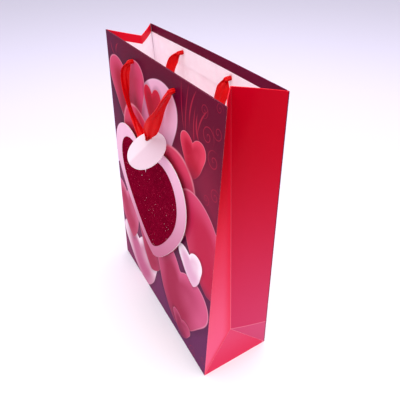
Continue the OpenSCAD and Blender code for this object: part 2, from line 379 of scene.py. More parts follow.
def rgb(r, g, b):
    """A screen colour (sRGB, 0 to 255) as the linear colour that shaders take."""
    return tuple((c / 255 / 12.92 if c < 11 else ((c / 255 + 0.055) / 1.055) ** 2.4) for c in (r, g, b)) + (1,)


class Nodes:
    """Short calls for the nodes of one tree. A value given to a socket is a number, a colour or another socket."""

    def __init__(self, tree):
        self.tree = tree

    def feed(self, socket, value):
        if isinstance(value, bpy.types.NodeSocket):
            self.tree.links.new(value, socket)
        elif value is not None:
            socket.default_value = value

    def add(self, kind, inputs=(), output=0, **settings):
        node = self.tree.nodes.new("ShaderNode" + kind)
        for key, value in settings.items():
            setattr(node, key, value)
        for key, value in dict(inputs).items():
            self.feed(node.inputs[key], value)
        return node.outputs[output]

    def math(self, operation, a, b=None, c=None, clamp=False):
        inputs = {i: v for i, v in enumerate((a, b, c)) if v is not None}
        return self.add("Math", inputs, operation=operation, use_clamp=clamp)

    def vector(self, operation, a, b=None, output=0):
        inputs = {0: a} if b is None else {0: a, 1: b}
        return self.add("VectorMath", inputs, output, operation=operation)

    def ramp(self, x, lo, hi, out_lo=0.0, out_hi=1.0):
        """x from lo to hi becomes out_lo to out_hi, smoothly, and stays there beyond."""
        inputs = {"Value": x, "From Min": lo, "From Max": hi, "To Min": out_lo, "To Max": out_hi}
        return self.add("MapRange", inputs, interpolation_type="SMOOTHSTEP")

    def mix(self, share, a, b, blend="MIX"):
        node = self.tree.nodes.new("ShaderNodeMix")
        node.data_type = "RGBA"
        node.blend_type = blend
        self.feed(node.inputs[0], share)
        self.feed(node.inputs[6], a)
        self.feed(node.inputs[7], b)
        return node.outputs[2]

    def noise(self, point, scale, detail=2.0):
        return self.add("TexNoise", {"Vector": point, "Scale": scale, "Detail": detail})

    def line(self, distance, lo, hi, strength):
        """Full strength up to lo from a line, and none beyond hi."""
        return self.ramp(distance, lo, hi, strength, 0.0)

    def attribute(self, name):
        return self.add("Attribute", attribute_name=name, output=2)

    def group(self, tree, inputs):
        node = self.tree.nodes.new("ShaderNodeGroup")
        node.node_tree = tree
        for key, value in inputs.items():
            self.feed(node.inputs[key], value)
        return node.outputs[0]

    def split(self, value, kind="XYZ"):
        """The three parts of a vector or a colour."""
        node = self.tree.nodes.new("ShaderNodeSeparate" + kind)
        self.feed(node.inputs[0], value)
        return node.outputs

    def object_point(self):
        return self.add("TexCoord", output=3)


def material(name, colour, height=None, bump=0.0, reach=0.1 * MM, normal=None, through=0.0, **settings):
    """Builds a material. colour, height and normal are functions of its Nodes, and settings are plain numbers of
    the shader.
    through is painted light: a glow of emission in the material's own colour, as a share of it, standing in for
    light that thin card would let in."""
    made = bpy.data.materials.new(name)
    made.use_nodes = True
    n = Nodes(made.node_tree)
    shader = made.node_tree.nodes["Principled BSDF"]
    base = colour(n)
    n.feed(shader.inputs["Base Color"], base)
    # painted light: the card glows with emission in its own colour
    if through:
        n.feed(shader.inputs["Emission Color"], base)
        shader.inputs["Emission Strength"].default_value = through
    if height:
        bumped = n.add("Bump", {"Height": height(n), "Strength": bump, "Distance": reach})
        n.feed(shader.inputs["Normal"], bumped)
    if normal:
        n.feed(shader.inputs["Normal"], normal(n))
    for key, value in settings.items():
        shader.inputs[key.replace("_", " ")].default_value = value
    return made


def group_tree(name, inputs, outputs):
    """A node group with the given sockets: {name: kind}, with kind Float, Vector or Color."""
    tree = bpy.data.node_groups.new(name, "ShaderNodeTree")
    for key, kind in inputs.items():
        tree.interface.new_socket(key, in_out="INPUT", socket_type="NodeSocket" + kind)
    for key, kind in outputs.items():
        tree.interface.new_socket(key, in_out="OUTPUT", socket_type="NodeSocket" + kind)
    start = tree.nodes.new("NodeGroupInput")
    end = tree.nodes.new("NodeGroupOutput")
    return tree, start.outputs, end.inputs


def local_point(n, given):
    """The point of the print in the drawing's own place, turn and size, from about -1 to 1 each way."""
    moved = n.vector("SUBTRACT", given["Point"], given["Place"])
    angle = n.math("MULTIPLY", given["Turn"], -1.0)
    turned = n.add("VectorRotate", {"Vector": moved, "Angle": angle}, rotation_type="Z_AXIS")
    scaled = n.vector("DIVIDE", turned, given["Size"])
    return scaled, *n.split(scaled)[:2]


def placed(place, size, turn):
    """The sockets that put a drawing on the card, from shares of the bag's height and degrees."""
    return {"Place": (place[0] * HEIGHT, place[1] * HEIGHT, 0), "Turn": math.radians(turn),
            "Size": (size[0] * HEIGHT, size[1] * HEIGHT, 1)}


DRAWING = {"Point": "Vector", "Place": "Vector", "Turn": "Float", "Size": "Vector"}


def heart_print():
    """One printed heart over a ground: a soft shadow, a lit rim, a highlight, and a lower part that can fade."""
    tree, given, result = group_tree(
        "printed_heart", {"Ground": "Color", **DRAWING, "Light": "Color", "Dark": "Color", "Fade": "Float"},
        {"Color": "Color"})
    n = Nodes(tree)
    scaled, x, y = local_point(n, given)
    square = n.math("MULTIPLY", x, x)
    cleft = n.math("POWER", n.math("ADD", square, 0.002), 0.25)
    round_tip = n.math("POWER", square, 0.65)
    lobes = n.add("Mix", {0: n.ramp(y, -0.5, 0.3), 2: round_tip, 3: cleft})
    v = n.math("SUBTRACT", n.math("MULTIPLY_ADD", y, 1.275, 0.275), lobes)
    r = n.math("SQRT", n.math("ADD", square, n.math("MULTIPLY", v, v)))
    inside = n.ramp(r, 0.985, 1.01, 1.0, 0.0)
    kept = n.ramp(y, n.math("MULTIPLY_ADD", given["Fade"], 0.4, -1.6),
                  n.math("MULTIPLY_ADD", given["Fade"], 2.4, -1.3))
    inside = n.math("MULTIPLY", inside, kept)
    rim = n.math("MULTIPLY", n.ramp(r, 0.45, 1.0), n.ramp(y, -0.9, 0.8, 0.2, 1.0))
    spot = n.vector("LENGTH", n.vector("SUBTRACT", scaled, (0.5, 0.3, 0)), output=1)
    shade = n.math("ADD", rim, n.ramp(spot, 0.0, 0.75, 0.5, 0.0), clamp=True)
    colour = n.mix(shade, given["Dark"], given["Light"])
    line = n.math("MULTIPLY", n.ramp(r, 0.955, 0.985, 0.0, 0.2), n.ramp(y, -0.8, 0.4, 0.3, 1.0))
    colour = n.mix(line, colour, rgb(250, 214, 230))
    shadow = n.math("MULTIPLY", n.ramp(r, 1.0, 1.3, 0.3, 0.0), kept)
    ground = n.mix(shadow, given["Ground"], rgb(60, 8, 40))
    n.feed(result["Color"], n.mix(inside, ground, colour))
    return tree


def curl_print():
    """A thin spiral line: its share of ink at a point."""
    tree, given, result = group_tree("printed_curl", DRAWING, {"Ink": "Float"})
    n = Nodes(tree)
    scaled, x, y = local_point(n, given)
    r = n.vector("LENGTH", scaled, output=1)
    angle = n.math("MULTIPLY", n.math("ARCTAN2", y, x), 0.5 / math.pi)
    turns = n.math("FRACT", n.math("ADD", n.math("MULTIPLY_ADD", r, 1.7, 10.0), angle))
    line = n.ramp(n.math("ABSOLUTE", n.math("SUBTRACT", turns, 0.5)), 0.03, 0.11, 1.0, 0.0)
    n.feed(result["Ink"], n.math("MULTIPLY", line, n.ramp(r, 0.8, 1.0, 1.0, 0.0)))
    return tree


def streak_print():
    """A long leaf-like streak that bends to one side: its share of ink at a point."""
    tree, given, result = group_tree("printed_streak", DRAWING, {"Ink": "Float"})
    n = Nodes(tree)
    _, x, y = local_point(n, given)
    square = n.math("MULTIPLY", y, y)
    off = n.math("ABSOLUTE", n.math("SUBTRACT", x, n.math("MULTIPLY", square, 1.6)))
    width = n.math("MULTIPLY_ADD", square, -0.45, 0.5)
    body = n.ramp(n.math("SUBTRACT", off, width), -0.4, 0.05, 1.0, 0.0)
    n.feed(result["Ink"], n.math("MULTIPLY", body, n.ramp(n.math("ABSOLUTE", y), 0.75, 1.0, 1.0, 0.0)))
    return tree


HEART_GROUP, CURL_GROUP, STREAK_GROUP = heart_print(), curl_print(), streak_print()

# The printed hearts: middle and half size in shares of the bag's height, from the panel's left lower corner,
# turn in degrees, light colour, dark colour, and how much of the lower part fades
HEARTS = [
    ((0.294, 0.77), (0.236, 0.163), 9, (228, 168, 198), (206, 98, 138), 0),
    ((0.168, 0.826), (0.152, 0.122), 9, (204, 66, 106), (162, 8, 42), 0),
    ((0.362, 0.858), (0.058, 0.062), 4, (196, 20, 54), (160, 2, 34), 0.15),
    ((0.352, 0.54), (0.258, 0.262), -4, (208, 56, 92), (158, 0, 16), 0),
    ((0.595, 0.814), (0.064, 0.06), 2, (216, 56, 88), (176, 14, 48), 0.5),
    ((0.716, 0.548), (0.198, 0.152), -6, (208, 68, 108), (184, 24, 66), 0.3),
    ((0.195, 0.118), (0.178, 0.136), 12, (242, 214, 230), (190, 92, 134), 0),
    ((0.085, 0.298), (0.122, 0.13), 8, (212, 108, 146), (172, 38, 80), 0),
    ((0.3, 0.248), (0.114, 0.108), -5, (190, 70, 112), (160, 30, 70), 0.1),
    ((0.52, 0.222), (0.188, 0.182), -8, (206, 84, 128), (160, 28, 70), 0.35),
    ((0.606, 0.43), (0.074, 0.068), 14, (248, 228, 240), (222, 168, 198), 0),
    ((0.552, 0.072), (0.066, 0.056), 0, (186, 66, 108), (150, 34, 76), 0.5),
    ((0, 0.53), (0.034, 0.032), 0, (250, 236, 248), (226, 180, 214), 0),
]
# Curls: middle, radius and turn. Streaks: middle, half size and turn. Both in the hearts' units
CURLS = [
    ((0.66, 0.905), 0.03, 20), ((0.7, 0.93), 0.022, 200), ((0.69, 0.855), 0.03, 110),
    ((0.64, 0.96), 0.02, 300), ((0.706, 0.765), 0.024, 60), ((0.668, 0.735), 0.02, 250),
    ((0.7, 0.33), 0.018, 40), ((0.64, 0.03), 0.03, 80), ((0.705, 0.07), 0.022, 210),
    ((0.7, 0.985), 0.016, 30), ((0.62, 0.7), 0.014, 10),
]
STREAKS = [
    ((0.535, 0.93), (0.006, 0.075), 8), ((0.556, 0.92), (0.006, 0.09), -4),
    ((0.58, 0.945), (0.008, 0.06), -16), ((0.61, 0.9), (0.01, 0.045), 14),
    ((0.628, 0.93), (0.007, 0.05), -28), ((0.596, 0.9), (0.006, 0.06), 2),
    ((0.05, 0.95), (0.008, 0.03), 40), ((0.09, 0.965), (0.008, 0.026), -30),
]


def card_bump(n):
    """Fine tooth of coated card with a slower unevenness."""
    point = n.object_point()
    fine = n.noise(point, 1400.0)
    slow = n.noise(point, 35.0)
    return n.math("MULTIPLY_ADD", slow, 2.0, fine)


def card(name, colour, bump=0.15, **settings):
    return material(name, colour, card_bump, bump, **settings)


def edge_flecks(n, colour, distance, width, share):
    """Pale flecks close to a folded edge. distance is how far the edge is."""
    flecks = n.ramp(n.noise(n.object_point(), 700.0, 4.0), 0.38, 0.62)
    near = n.line(distance, 0.15 * width, width, share)
    return n.mix(n.math("MULTIPLY", near, flecks), colour, rgb(236, 200, 214))


def printed(side):
    """The hearts, curls and streaks of a panel, over a burgundy ground that turns a dusky purple lower down: partly
    print, partly a painted reflection of the floor in the gloss.
    """

    def colour(n):
        up = n.attribute("up")
        across = n.attribute("across")
        point = n.add("CombineXYZ", {0: across, 1: up})
        clouds = n.noise(n.vector("MULTIPLY", point, (1.0, 0.4, 1.0)), 26.0, 3.0)
        x = n.math("MULTIPLY_ADD", clouds, 0.12, across)
        top = n.mix(n.ramp(x, 0.02 * HEIGHT, 0.42 * HEIGHT), rgb(86, 12, 58), rgb(96, 2, 40))
        # the dusky purple lower down is partly print and partly a painted reflection of the pale floor
        low = n.mix(n.ramp(x, 0.1 * HEIGHT, 0.7 * HEIGHT), rgb(130, 38, 88), rgb(100, 32, 84))
        ground = n.mix(n.ramp(up, 0.12 * HEIGHT, 0.86 * HEIGHT), low, top)
        away = n.vector("LENGTH", n.vector("SUBTRACT", point, (0.6 * HEIGHT, 0.72 * HEIGHT, 0)), output=1)
        ground = n.mix(n.line(away, 0.03 * HEIGHT, 0.24 * HEIGHT, 0.5), ground, rgb(160, 28, 66))
        marks = [(STREAK_GROUP, 0.55, place, size, turn) for place, size, turn in STREAKS]
        marks += [(CURL_GROUP, 0.42, place, (radius, radius), turn) for place, radius, turn in CURLS]
        for tree, strength, place, size, turn in marks:
            ink = n.group(tree, {"Point": point, **placed(place, size, turn)})
            ground = n.mix(n.math("MULTIPLY", ink, strength), ground, rgb(196, 36, 66))
        for place, size, turn, light, dark, fade in HEARTS:
            ground = n.group(HEART_GROUP, {"Ground": ground, "Point": point, **placed(place, size, turn),
                                           "Light": rgb(*light), "Dark": rgb(*dark), "Fade": fade})
        grain = n.noise(point, 900.0, 1.0)
        ground = n.mix(0.06, ground, n.add("CombineColor", {0: grain, 1: grain, 2: grain}), "OVERLAY")
        edge = n.math("MINIMUM", across, n.math("SUBTRACT", 2 * HALF_W, across))
        return edge_flecks(n, ground, edge, 0.6 * MM, 0.15)

    return card("printed_card_" + NAME[side], colour, 0.12, Specular_IOR_Level=0.02, Coat_Weight=0.05,
                Coat_Roughness=0.18)


def hem_colour(ink_left, ink_right):
    """The print that goes over the rim, and the bare card below it."""

    def colour(n):
        down = n.attribute("down")
        across = n.attribute("across")
        ink = n.mix(n.ramp(across, 0.0, HALF_W), ink_left, ink_right)
        uneven = n.math("MULTIPLY_ADD", n.noise(n.object_point(), 300.0), 0.3 * MM, down)
        bare = n.mix(n.noise(n.object_point(), 60.0), rgb(246, 236, 242), rgb(232, 216, 226))
        past = n.ramp(uneven, PRINTED_HEM, PRINTED_HEM + 0.35 * MM)
        return n.mix(past, edge_flecks(n, ink, down, 0.8 * MM, 0.05), bare)

    return colour


def plain_colour(light, dark, scale=60.0):
    """Unprinted board with short fibres. scale is that of its slow unevenness."""

    def colour(n):
        point = n.object_point()
        fibres = n.noise(n.vector("MULTIPLY", point, (1.0, 1.0, 0.2)), 2600.0, 2.0)
        base = n.mix(n.noise(point, scale), light, dark)
        return n.mix(n.math("MULTIPLY", n.ramp(fibres, 0.55, 0.8), 0.3), base, dark)

    return colour


def gusset_colour(n):
    """Satin red: paler towards the base as a painted reflection of the floor, and darker on the back half as
    painted shade.
    """
    up, edge, middle, back = [n.attribute(name) for name in ("up", "edge", "middle", "back")]
    front = n.math("SUBTRACT", 1.0, back)
    # painted reflection of the floor: the red turns paler towards the base
    pale = n.ramp(up, 0.95 * HEIGHT, 0.0)
    # the back half is the same card, painted darker as shade
    top = n.mix(back, rgb(216, 2, 16), rgb(190, 0, 30))
    low = n.mix(back, rgb(236, 92, 132), rgb(200, 56, 98))
    colour = n.mix(pale, top, low)
    base_crease = n.math("ABSOLUTE", n.math("SUBTRACT", up, HALF_D))
    for strength, where, over in (
        # painted shade below the mouth, and a deeper red beside the middle crease, where less reflection of the
        # floor is painted
        (n.ramp(up, 0.55 * HEIGHT, HEIGHT, 0.0, 0.8), front, rgb(150, 2, 24)),
        (n.line(middle, 0.0, 22 * MM, 0.55), front, rgb(226, 16, 52)),
        # painted highlights along the middle crease and along the base's crease, and the paler patch under that
        (n.line(middle, 0.2 * MM, 1.0 * MM, 0.5), n.math("ADD", 0.15, pale), rgb(250, 130, 156)),
        (n.line(base_crease, 0.2 * MM, 1.1 * MM, 0.55), back, rgb(244, 150, 176)),
        (n.ramp(n.math("SUBTRACT", HALF_D, up), 0.0, 0.5 * MM, 0.0, 0.35), back, rgb(212, 96, 140)),
        # the burgundy print that wraps round from the back panel
        (n.line(edge, 0.7 * MM, 1.3 * MM, 0.9), back, rgb(84, 14, 48)),
    ):
        colour = n.mix(n.math("MULTIPLY", strength, where), colour, over)
    return edge_flecks(n, colour, edge, 0.6 * MM, 0.25)


def triangle_colour(n):
    """The base corner's red, painted a paler rose as a reflection of the floor, with pale flecks along its folds.
    """
    colour = n.mix(n.ramp(n.attribute("up"), 0.0, HALF_D), rgb(216, 50, 88), rgb(214, 70, 108))
    return edge_flecks(n, colour, n.attribute("edge"), 0.8 * MM, 0.4)


FLAKES = 1250.0  # to the metre


def glitter_colour(n):
    """Crimson flakes, some lighter, a few with a painted rose glint, and here and there one with a painted white
    glint.
    """
    point = n.object_point()
    draw = n.split(n.add("TexVoronoi", {"Vector": point, "Scale": FLAKES}, output=1), "Color")
    base = n.mix(n.noise(point, 45.0, 3.0), rgb(92, 0, 24), rgb(120, 2, 36))
    flake = n.mix(n.ramp(draw[0], 0.55, 1.0), base, rgb(150, 10, 48))
    # painted glints: a rose one on a few flakes, a white one on fewer
    flake = n.mix(n.ramp(draw[1], 0.993, 0.997), flake, rgb(226, 70, 104))
    return n.mix(n.ramp(draw[2], 0.9988, 0.9995), flake, rgb(255, 236, 242))


def glitter_normal(n):
    """Each flake lies at its own angle."""
    cell = n.add("TexVoronoi", {"Vector": n.object_point(), "Scale": FLAKES}, output=1)
    lean = n.vector("MULTIPLY", n.vector("SUBTRACT", cell, (0.5, 0.5, 0.5)), (0.7, 0.7, 0.7))
    face = n.add("NewGeometry", output=1)
    return n.vector("NORMALIZE", n.vector("ADD", face, lean))


def pink_colour(n):
    """Pale pink at the upper left, rose towards the point."""
    x, _, z = n.split(n.object_point())
    slope = n.math("SUBTRACT", n.math("MULTIPLY", x, 0.4), z)
    return n.mix(n.ramp(slope, -0.32, -0.11), rgb(238, 184, 212), rgb(192, 98, 136))


def tag_colour(n):
    """Pale card, painted a little darker beyond a soft line that runs down from its hole, as shade where the card
    curls away.
    """
    point = n.object_point()
    base = n.mix(n.noise(point, 30.0), rgb(226, 208, 218), rgb(216, 196, 208))
    # painted shade beyond the line
    beyond = n.math("SUBTRACT", n.split(point)[0], TAG_HOLE.x + 6 * MM)
    return n.mix(n.ramp(beyond, -1 * MM, 4 * MM, 0.0, 0.6), base, rgb(204, 172, 188))


def satin_colour(n):
    """Uneven red, a little lighter along the woven edges."""
    colour = n.mix(n.noise(n.object_point(), 120.0, 3.0), rgb(226, 4, 10), rgb(190, 2, 8))
    edge = n.ramp(n.math("ABSOLUTE", n.attribute("across")), 0.9, 0.99, 0.0, 0.45)
    return n.mix(edge, colour, rgb(244, 40, 40))


def satin_weave(n):
    """Weft ribs across the ribbon, floats along it, and a selvedge."""
    along, across = n.attribute("along"), n.attribute("across")
    pitch = 0.5 * MM
    ribs = n.math("SINE", n.math("MULTIPLY", along, 2 * math.pi / pitch))
    floats = n.math("SINE", n.math("MULTIPLY", across, 150.0))
    selvedge = n.ramp(n.math("ABSOLUTE", across), 0.88, 0.94)
    return n.math("ADD", n.math("MULTIPLY_ADD", ribs, 0.35, n.math("MULTIPLY", floats, 0.2)), selvedge)


def foam_height(n):
    """Open cells."""
    return n.add("TexVoronoi", {"Vector": n.object_point(), "Scale": 1500.0})


# through=0.2 paints a glow onto the white card, lighting the bag's inside
WHITE_CARD = card("white_card", plain_colour(rgb(246, 236, 241), rgb(232, 212, 222)), through=0.2, Roughness=0.6)
CORE = card("card_core", plain_colour(rgb(240, 226, 232), rgb(220, 200, 208)), 0.3, Roughness=0.8)
PRINT = {side: printed(side) for side in (FRONT, BACK)}
# the hems' through=0.2 paints the same glow onto them
HEM_PRINT, HEM_RED = [
    card(name, hem_colour(*inks), through=0.2, Specular_IOR_Level=0.02, Coat_Weight=0.03)
    for name, inks in (("hem_printed", (rgb(92, 10, 42), rgb(96, 16, 48))),
                       ("hem_red", (rgb(212, 16, 40), rgb(206, 14, 36))))]
GUSSET = card("gusset_card", gusset_colour, Roughness=0.4, Specular_IOR_Level=0.02, Coat_Weight=0.04,
              Coat_Roughness=0.18)
TRIANGLE = card("base_card", triangle_colour, Roughness=0.4, Specular_IOR_Level=0.04, Coat_Weight=0.06,
                Coat_Roughness=0.18)
GREYBOARD = card("greyboard", plain_colour(rgb(205, 200, 192), rgb(176, 170, 162), 220.0), 0.4, reach=0.2 * MM,
                 Roughness=0.9)
FOAM = material("foam", plain_colour(rgb(250, 248, 244), rgb(232, 228, 222), 400.0), foam_height, 0.5, 0.3 * MM,
                Roughness=0.95)
PINK_CARD = card("pink_card", pink_colour, 0.12, Roughness=0.45, Specular_IOR_Level=0.05, Coat_Weight=0.06,
                 Coat_Roughness=0.2)
GLITTER = material("glitter", glitter_colour, normal=glitter_normal, Roughness=0.4, Specular_IOR_Level=0.0)
SATIN = material("satin", satin_colour, satin_weave, 0.35, 0.08 * MM, Roughness=0.35, Specular_IOR_Level=0.12,
                 Sheen_Weight=0.04, Sheen_Roughness=0.3, Anisotropic=0.4)
TAG_CARD = card("tag_card", tag_colour, 0.1, Roughness=0.42, Specular_IOR_Level=0.2, Coat_Weight=0.08)

# -------- ribbons

# A gathered ribbon's share of its width, and the depths of its pleats there and of its hollow in the open
GATHERED, PLEAT, CUP = 0.3, 1.9 * MM, 1.6 * MM


def gather(k, pinches):
    """How far a ribbon is spread at route point k: 0 where it is gathered, 1 in the open."""
    return min(smooth(abs(k - p), -0.15, 1.7) for p in pinches)


def ribbon_strip(name, route, pinches, twist, width_share, per_span=8, columns=24):
    """A satin ribbon swept along its route, its width near Y, folded up where it is gathered."""
    centre = spline(route, per_span)
    us = steps(-1, 1, columns)
    along, length = [0.0], 0.0
    for a, b in zip(centre, centre[1:]):
        length += (b - a).length
        along.append(length)
    grids, values = ([], []), {"along": [], "across": []}
    for i, p in enumerate(centre):
        k = i / per_span
        heading = (centre[min(i + 1, len(centre) - 1)] - centre[max(i - 1, 0)]).normalized()
        wide = Vector((0, 1, 0)) - heading * heading.y
        wide = Quaternion(heading, twist(k)) @ wide.normalized()
        face = heading.cross(wide)
        spread = gather(k, pinches)
        half = RIBBON_W / 2 * (GATHERED + (width_share(k) - GATHERED) * spread)
        pleat = PLEAT * (1 - 0.62 * spread) * (1 - 0.35 * spread)
        cup = CUP * spread * math.sin(0.55 * k + 0.6)
        line = []
        for u in us:
            fold = pleat * math.sin(6.5 * u + 1.2 * math.sin(0.9 * k)) + cup * (u * u - 0.4)
            line.append(p + wide * (half * u) + face * fold)
        for grid, sign in zip(grids, (1, -1)):
            grid.append([point + face * sign * RIBBON_T / 2 for point in line])
        values["along"].append([along[i]] * len(us))
        values["across"].append(us)
    return shell(name, *grids, [SATIN] * 3, values), centre, length


def front_twist(k):
    """How far the front ribbon's face is turned about its route, in radians, at route point k."""
    return 0.55 * math.sin(0.75 * k + 0.4) - 0.25


def back_twist(k):
    """The same for the back ribbon."""
    return 0.85 * (1 - smooth(k, 5, 15))


def tag_point(x, z, depth):
    """A point of the tag: x and z in its own plane from its hole, depth to its rear face. It curls a little."""
    curl = 1.2 * MM * smooth(x, -2 * MM, TAG_R) * (x / TAG_R) ** 2 + 1.0 * MM * (z / TAG_R) ** 2
    p = Vector((x, depth - TAG_T / 2 + curl, z))
    lean, roll, turn = TAG_TURN
    p = Quaternion((0, 1, 0), roll) @ p
    p = Quaternion((1, 0, 0), lean) @ p
    return TAG_HOLE + Quaternion((0, 0, 1), turn) @ p


def circle(x, z, r, count=96):
    return [(x + r * math.cos(a), z + r * math.sin(a)) for a in steps(0, 2 * math.pi, count)[:-1]]


def make_tag():
    outline, hole = circle(0, -TAG_HOLE_AT, TAG_R), circle(0, 0, TAG_HOLE_R)
    tag = plate("hang_tag", outline, hole, tag_point, TAG_T, 0.15 * MM, [TAG_CARD, CORE, TAG_CARD])
    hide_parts("tag")
    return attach(tag, "tag")


def make_handles():
    tag = make_tag()
    last = len(FRONT_ROUTE) - 1
    for name, route, pinches, twist, narrow, pieces in (
        ("front", FRONT_ROUTE, (0, AT_TAG, last), front_twist, 0.62, [tag]),
        ("back", BACK_ROUTE, (0, last), back_twist, 0.75, []),
    ):
        ribbon, centre, length = ribbon_strip(
            name + "_ribbon", route, pinches, twist, lambda k: narrow + (1 - narrow) * smooth(k, 8, 12))
        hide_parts(name + "_handle")
        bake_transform(ribbon)


make_handles()


def knot_loop(middle, size, count=60):
    """The closed line of an overhand knot about a point."""
    line = []
    for t in steps(0, 2 * math.pi, count)[:-1]:
        x, y, z = math.sin(t) + 2 * math.sin(2 * t), math.cos(t) - 2 * math.cos(2 * t), -math.sin(3 * t)
        line.append(middle + Vector((x, z * 1.1, y)) * size / 3)
    return line


def add_tail(bm, side, middle, lean, slant):
    """One cut end of a ribbon that hangs from a knot, leaning in the wall's plane, its end cut at a slant."""
    down = Vector((math.sin(lean), 0, -math.cos(lean)))
    wide = Vector((math.cos(lean), 0, math.sin(lean)))
    grids = []
    for sign in (1, -1):
        grid = []
        for f in steps(0, 1, 10):
            half = (1.6 + 2.6 * smooth(f)) * MM
            swing = side * (1.2 * MM * math.sin(2.4 * f) + 0.2 * MM)
            row = []
            for u in steps(-1, 1, 6):
                reach = (2 + f * (13.5 + slant * u * 0.8)) * MM
                fold = 0.9 * MM * (1 - 0.5 * f) * math.sin(4.2 * u + lean * 6) + sign * RIBBON_T / 2
                row.append(middle + down * reach + wide * half * u + Vector((0, fold + swing, 0)))
            grid.append(row)
        grids.append(grid)
    add_shell(bm, *grids, slots=(0, 0, 0))


def make_knots(side):
    """On each hole: the gathered neck through the wall, the knot that stops it, and its two tails."""
    name = NAME[side]
    inside = CARD + STRIP + HEM_CARD
    off = 4.3 * MM
    if side == FRONT:
        route, depths = FRONT_ROUTE, (inside + off, inside, 0)
    else:
        route, depths = BACK_ROUTE, (-off, 0, inside)
    bm = bmesh.new()
    for x, (first, second) in ((-HOLE_X, route[:2]), (HOLE_X, route[:-3:-1])):
        stops = [wall(side, x, HOLE_S, d) / MM for d in depths]
        neck = spline(stops + [Vector(first), Vector(first).lerp(Vector(second), 0.3)], 6)
        add_tube(bm, neck, HOLE_R, 42, pleats=7)
        middle = wall(side, x, HOLE_S, depths[0])
        add_tube(bm, knot_loop(middle, 2.9 * MM), 1.5 * MM, 14, closed=True, flat=0.8)
        for lean, slant in ((-0.45, 3), (0.38, -3)):
            add_tail(bm, side, middle, lean, slant)
    knots = place_mesh(name + "_knots", bm, [SATIN])
    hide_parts(name + "_ribbon_knots")
    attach(knots, name + "_wall")


for side in (FRONT, BACK):
    make_knots(side)

# -------- walls


def hem_depth(x):
    """Depth of the hem's inner face: it lies over the stiffening strip, and on the panel beyond its ends."""
    over = 1 - smooth(abs(x), HALF_W - STRIP_SIDE - 1 * MM, HALF_W - STRIP_SIDE + 2 * MM)
    return CARD + HEM_CARD + GLUE + (STRIP - GLUE) * over


def held_in(x, gap):
    """x, kept at least gap short of the folds at both ends of a wall."""
    inside = HALF_W - gap
    return max(-inside, min(inside, x))


def make_panel(side):
    name = NAME[side]
    near_edge = [0.03 * MM, 0.2 * MM, 0.8 * MM, 2.0 * MM]
    xs = [e - HALF_W for e in near_edge] + steps(-HALF_W + 6 * MM, HALF_W - 6 * MM, 50)
    xs += [HALF_W - e for e in near_edge[::-1]]
    ss = [0.25 * MM, 0.5 * MM, 1 * MM, 4 * MM] + steps(12 * MM, HEIGHT - 26 * MM, 62)
    ss += steps(HEIGHT - 24 * MM, HEIGHT, 12)
    outer, inner = [], []
    for s in ss:
        foot = 0.3 * MM * (1 - smooth(s, 0.2 * MM, 1.0 * MM))
        # the crease at which the flat bag's base was folded up against its back
        crease = -0.5 * MM * max(0.0, 1 - abs(s - HALF_D) / (7 * MM)) if side == BACK else 0.0
        row_out, row_in = [], []
        for x in xs:
            top = min(s, HEIGHT - hem_depth(x) / 2)
            d = foot + crease + (0.03 * MM if abs(x) > HALF_W - 0.1 * MM else 0.0)
            row_out.append(wall(side, x, top, d))
            row_in.append(wall(side, held_in(x, mitre(s) * (CARD + AIR)), top, max(d, 0) + CARD))
        outer.append(row_out)
        inner.append(row_in)

    def print_place(x, s):
        return {"across": HALF_W - side * x, "up": s}

    values = {key: [[print_place(x, s)[key] for x in xs] for s in ss] for key in ("across", "up")}
    panel = shell(name + "_card", outer, inner, [PRINT[side], WHITE_CARD, CORE], values)
    drill(panel, side, print_place)
    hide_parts(name + "_panel")
    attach(panel, name + "_wall")


def rim_profile(inner_depth):
    """Section of a hem that rolls over a rim and runs down inside, to inner_depth from the wall's outer face. Each
    step has a point of its printed side and one of its bare side, as depth and distance below the rim, and the
    way along it."""
    r = inner_depth / 2
    points = []
    for a in steps(0, math.pi, 8):
        out = (r - r * math.cos(a), r - r * math.sin(a))
        bare = (r - (r - HEM_CARD) * math.cos(a), r - (r - HEM_CARD) * math.sin(a))
        points.append((out, bare, r * a / 2))
    for drop in (2, 5, 8, 11, 12, 18, 24, 30, 33, HEM / MM):
        y = drop * MM
        points.append(((inner_depth, y), (inner_depth - HEM_CARD, y), y))
    return points


def fold_rim(name, columns, profile, point, across, material_out):
    """A hem that rolls over the rim. point(column, depth, below) is its place, and across(column) its attribute."""
    outer, inner, values = [], [], {"across": [], "down": []}
    for column in columns:
        section = rim_profile(profile(column))
        outer.append([point(column, *p) for p, _, _ in section])
        inner.append([point(column, *q) for _, q, _ in section])
        values["across"].append([across(column)] * len(section))
        values["down"].append([way for _, _, way in section])
    return shell(name, outer, inner, [material_out, WHITE_CARD, CORE], values)


def make_hem(side):
    name = NAME[side]

    def hem_point(x, depth, below):
        return wall(side, held_in(x, mitre(HEIGHT) * depth + AIR), HEIGHT - below, depth)

    xs = steps(-HALF_W + 0.05 * MM, HALF_W - 0.05 * MM, 96)
    hem = fold_rim(name + "_hem_fold", xs, hem_depth, hem_point, abs, HEM_PRINT)
    drill(hem, side, lambda x, s: {"across": abs(x), "down": HEIGHT - s})
    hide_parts(name + "_hem")
    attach(hem, name + "_wall")


def make_stiffener(side):
    name = NAME[side]
    xs = steps(-HALF_W + STRIP_SIDE, HALF_W - STRIP_SIDE, 64)
    ss = steps(HEIGHT - HEM + 0.6 * MM, HEIGHT - 1.2 * MM, 8)
    outer, inner = [[[wall(side, x, s, depth) for x in xs] for s in ss]
                    for depth in (CARD + AIR, CARD + STRIP - GLUE)]
    strip = shell(name + "_strip", outer, inner, [GREYBOARD] * 3)
    drill(strip, side)
    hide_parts(name + "_stiffener")
    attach(strip, name + "_wall")


for side in (FRONT, BACK):
    make_panel(side)
    make_hem(side)
    make_stiffener(side)

# -------- gussets and base corners

HALVES = [("front_right", RIGHT, FRONT), ("back_right", RIGHT, BACK),
          ("front_left", LEFT, FRONT), ("back_left", LEFT, BACK)]


def blend_gusset(piece):
    """Bakes the half's place into its mesh."""
    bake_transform(piece)


